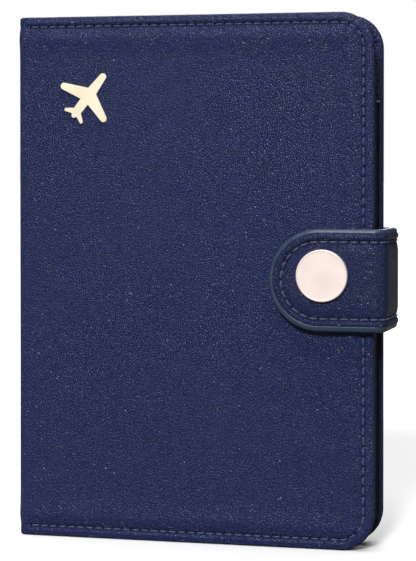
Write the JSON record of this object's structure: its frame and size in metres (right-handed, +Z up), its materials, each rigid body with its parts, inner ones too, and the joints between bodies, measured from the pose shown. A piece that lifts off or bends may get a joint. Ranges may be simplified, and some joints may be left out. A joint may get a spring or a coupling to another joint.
{
  "type": "passport holder wallet",
  "caption": "Padded leather passport wallet that opens like a book, with inner pockets and a strap closed by a press stud.",
  "frame": {"origin": "centre of the bounding box at the bottom edge, on the surface that the closed wallet stands on", "axes": "+Z up along the covers, +X from the spine to the fore edge, the front cover faces -Y"},
  "size_m": [0.1046, 0.0234, 0.145],
  "materials": {
    "cover_leather": "satin",
    "strap_leather": "satin",
    "strap_lining": "matte",
    "pocket_leather": "satin",
    "lining_cloth": "matte",
    "edge_paint": "satin",
    "thread": "satin",
    "board": "matte",
    "foam": "matte",
    "window_film": "gloss",
    "rose_gold": "satin",
    "pale_gold": "satin",
    "steel": "satin"
  },
  "bodies": {
    "back_cover": {"back_leather": "cover_leather", "back_pad": "foam", "back_board": "board", "back_lining": "lining_cloth", "back_stitching": "thread", "passport_pocket": "pocket_leather", "pocket_gusset": "pocket_leather", "pocket_stitching": "thread", "pocket_bartacks": "thread", "strap_root_leather": "strap_leather", "strap_root_lining": "strap_lining", "strap_root_edge": "edge_paint", "strap_root_stitching": "thread"},
    "spine": {"spine_leather": "cover_leather", "spine_board": "board", "spine_lining": "lining_cloth", "front_fold": "cover_leather", "back_fold": "cover_leather"},
    "front_cover": {"front_leather": "cover_leather", "front_pad": "foam", "front_board": "board", "front_lining": "lining_cloth", "front_stitching": "thread", "card_slot_lower": "pocket_leather", "card_slot_middle": "pocket_leather", "card_slot_upper": "pocket_leather", "id_window_frame": "pocket_leather", "id_window_film": "window_film", "slot_stitching": "thread", "plane_emblem": "pale_gold", "snap_stud": "rose_gold", "snap_post": "steel"},
    "strap_bridge": {"strap_bridge_leather": "strap_leather", "strap_bridge_lining": "strap_lining", "strap_bridge_edge": "edge_paint", "strap_bridge_stitching": "thread", "strap_back_bend": "strap_leather", "strap_front_bend": "strap_leather"},
    "strap_tongue": {"strap_tongue_leather": "strap_leather", "strap_tongue_lining": "strap_lining", "strap_tongue_edge": "edge_paint", "strap_tongue_stitching": "thread", "snap_cap": "rose_gold", "snap_socket": "steel", "snap_spring": "steel"}
  },
  "joints": [
    {"name": "spine_fold", "type": "hinge", "parent": "back_cover", "child": "spine", "pos_m": [-0.05181, 0.00896, 0.0725], "axis": [0, 0, -1], "range_deg": [0, 90], "deforming": ["back_fold"]},
    {"name": "cover_fold", "type": "hinge", "parent": "spine", "child": "front_cover", "pos_m": [-0.05181, -0.00596, 0.0725], "axis": [0, 0, -1], "range_deg": [0, 90], "deforming": ["front_fold"]},
    {"name": "strap_fold", "type": "hinge", "parent": "back_cover", "child": "strap_bridge", "pos_m": [0.0516, 0.01095, 0.0729], "axis": [0, 0, 1], "range_deg": [0, 90], "deforming": ["strap_back_bend"]},
    {"name": "tongue_fold", "type": "hinge", "parent": "strap_bridge", "child": "strap_tongue", "pos_m": [0.0516, -0.00955, 0.0729], "axis": [0, 0, 1], "range_deg": [0, 90], "deforming": ["strap_front_bend", "strap_tongue_leather", "strap_tongue_lining", "strap_tongue_edge", "strap_tongue_stitching", "snap_cap", "snap_socket", "snap_spring"]}
  ],
  "couplings": [
    {"joint": "cover_fold", "follows": "spine_fold", "ratio": 1},
    {"joint": "tongue_fold", "follows": "strap_fold", "ratio": 1}
  ]
}
